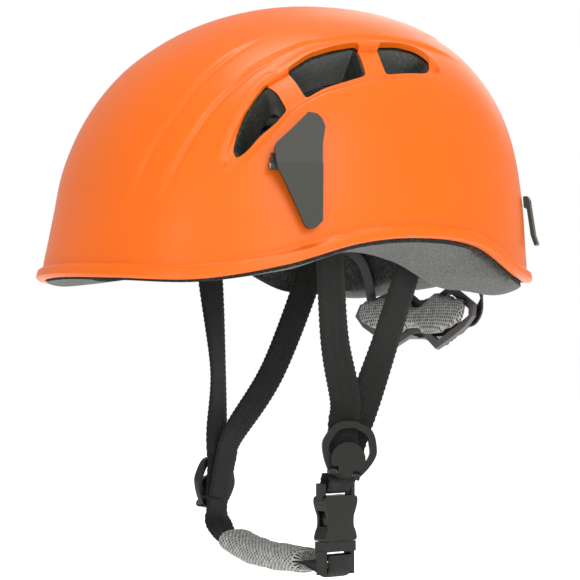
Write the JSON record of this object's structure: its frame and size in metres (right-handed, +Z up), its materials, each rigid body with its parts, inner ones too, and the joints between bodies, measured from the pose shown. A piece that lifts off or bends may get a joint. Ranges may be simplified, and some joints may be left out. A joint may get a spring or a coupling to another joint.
{
  "type": "climbing helmet",
  "caption": "Climbing helmet: orange vented shell over foam, webbing harness with strap dividers, side-release buckle, padded chin strap, dial nape cradle and headlamp clips.",
  "frame": {"origin": "on the centre line of the helmet's opening, level with the brow edge of the shell (about 4 mm above its lowest point at the front), where the wearer's head enters", "axes": "+Z up along the wearer's head, -Y to the front of the helmet, +X to the wearer's left, where the buckle hangs"},
  "size_m": [0.2128, 0.2683, 0.3037],
  "materials": {
    "shell_plastic": "satin orange moulded plastic",
    "foam": "black moulded bead foam",
    "comfort_pad": "dark knitted fabric over foam",
    "spacer_mesh": "light grey spacer mesh with small holes",
    "pin_metal": "dark steel",
    "clip_plastic": "satin dark grey",
    "webbing": "woven black webbing with a herringbone rib",
    "buckle_plastic": "satin charcoal",
    "nape_plastic": "satin mid grey",
    "black_plastic": "satin black"
  },
  "bodies": {
    "helmet": {"shell": "shell_plastic", "liner": "foam", "brow_pad": "comfort_pad", "crown_pad": "comfort_pad", "side_pad_left": "comfort_pad", "side_pad_right": "comfort_pad", "front_clip_base_left": "clip_plastic", "front_clip_pin_left": "pin_metal", "front_clip_base_right": "clip_plastic", "front_clip_pin_right": "pin_metal", "rear_clip_left": "clip_plastic", "rear_clip_right": "clip_plastic", "strap_anchors": "black_plastic", "front_strap_left": "webbing", "rear_strap_left": "webbing", "front_strap_right": "webbing", "rear_strap_right": "webbing", "lower_strap_left": "webbing", "divider_left": "buckle_plastic", "divider_pin_left": "pin_metal", "divider_right": "buckle_plastic", "divider_pin_right": "pin_metal", "buckle_socket": "buckle_plastic", "chin_strap": "webbing", "chin_pad": "spacer_mesh", "headband_left": "black_plastic", "headband_right": "black_plastic", "headband_studs": "black_plastic", "hanger_left": "nape_plastic", "hanger_right": "nape_plastic"},
    "nape_cradle": {"nape_frame": "nape_plastic", "nape_pad": "spacer_mesh", "dial_housing": "black_plastic"},
    "dial": {"dial_knob": "black_plastic", "dial_pinion": "black_plastic"},
    "rack_left": {"rack_left": "black_plastic"},
    "rack_right": {"rack_right": "black_plastic"},
    "clip_lever_left": {"front_clip_lever_left": "clip_plastic"},
    "clip_lever_right": {"front_clip_lever_right": "clip_plastic"},
    "flap_left": {"divider_flap_left": "buckle_plastic"},
    "flap_right": {"divider_flap_right": "buckle_plastic"},
    "plug": {"buckle_plug": "buckle_plastic"},
    "prong_front": {"buckle_prong_front": "buckle_plastic"},
    "prong_rear": {"buckle_prong_rear": "buckle_plastic"}
  },
  "joints": [
    {"name": "nape_adjust", "type": "slide", "parent": "helmet", "child": "nape_cradle", "axis": [0, -0.9703, 0.2419], "range_m": [0, 0.012], "deforming": ["headband_left", "headband_right", "hanger_left", "hanger_right"]},
    {"name": "dial_turn", "type": "hinge", "parent": "nape_cradle", "child": "dial", "pos_m": [0, 0.0865, -0.024], "axis": [0, 0.9703, -0.2419], "range_deg": [0, 138]},
    {"name": "rack_left_slide", "type": "slide", "parent": "nape_cradle", "child": "rack_left", "axis": [-1, 0, 0], "range_m": [0, 0.0121]},
    {"name": "rack_right_slide", "type": "slide", "parent": "nape_cradle", "child": "rack_right", "axis": [1, 0, 0], "range_m": [0, 0.0121]},
    {"name": "clip_left_open", "type": "hinge", "parent": "helmet", "child": "clip_lever_left", "pos_m": [0.09683, -0.04854, 0.05], "axis": [-0.2588, -0.9659, 0], "range_deg": [0, 6], "stiffness_Nm_per_rad": 0.08},
    {"name": "clip_right_open", "type": "hinge", "parent": "helmet", "child": "clip_lever_right", "pos_m": [-0.09683, -0.04854, 0.05], "axis": [-0.2588, 0.9659, 0], "range_deg": [0, 6], "stiffness_Nm_per_rad": 0.08},
    {"name": "flap_left_open", "type": "hinge", "parent": "helmet", "child": "flap_left", "pos_m": [0.06925, -0.00567, -0.1054], "axis": [0.365, 0.9034, -0.225], "range_deg": [0, 100]},
    {"name": "flap_right_open", "type": "hinge", "parent": "helmet", "child": "flap_right", "pos_m": [-0.06793, -0.01177, -0.12953], "axis": [0.2563, -0.9565, 0.1392], "range_deg": [0, 100]},
    {"name": "buckle_release", "type": "slide", "parent": "helmet", "child": "plug", "axis": [0, 0, -1], "range_m": [0, 0.028], "deforming": ["chin_strap", "chin_pad"]},
    {"name": "prong_rear_squeeze", "type": "hinge", "parent": "plug", "child": "prong_rear", "pos_m": [0.05796, -0.00011, -0.1424], "axis": [0.9781, 0.2079, 0], "range_deg": [0, 5], "stiffness_Nm_per_rad": 0.03},
    {"name": "prong_front_squeeze", "type": "hinge", "parent": "plug", "child": "prong_front", "pos_m": [0.06004, -0.00989, -0.1424], "axis": [-0.9781, -0.2079, 0], "range_deg": [0, 5], "stiffness_Nm_per_rad": 0.03}
  ],
  "couplings": [
    {"joint": "dial_turn", "follows": "nape_adjust", "rad_per_m": 200},
    {"joint": "rack_left_slide", "follows": "nape_adjust", "ratio": 1},
    {"joint": "rack_right_slide", "follows": "nape_adjust", "ratio": 1},
    {"joint": "prong_front_squeeze", "follows": "prong_rear_squeeze", "ratio": 1}
  ]
}
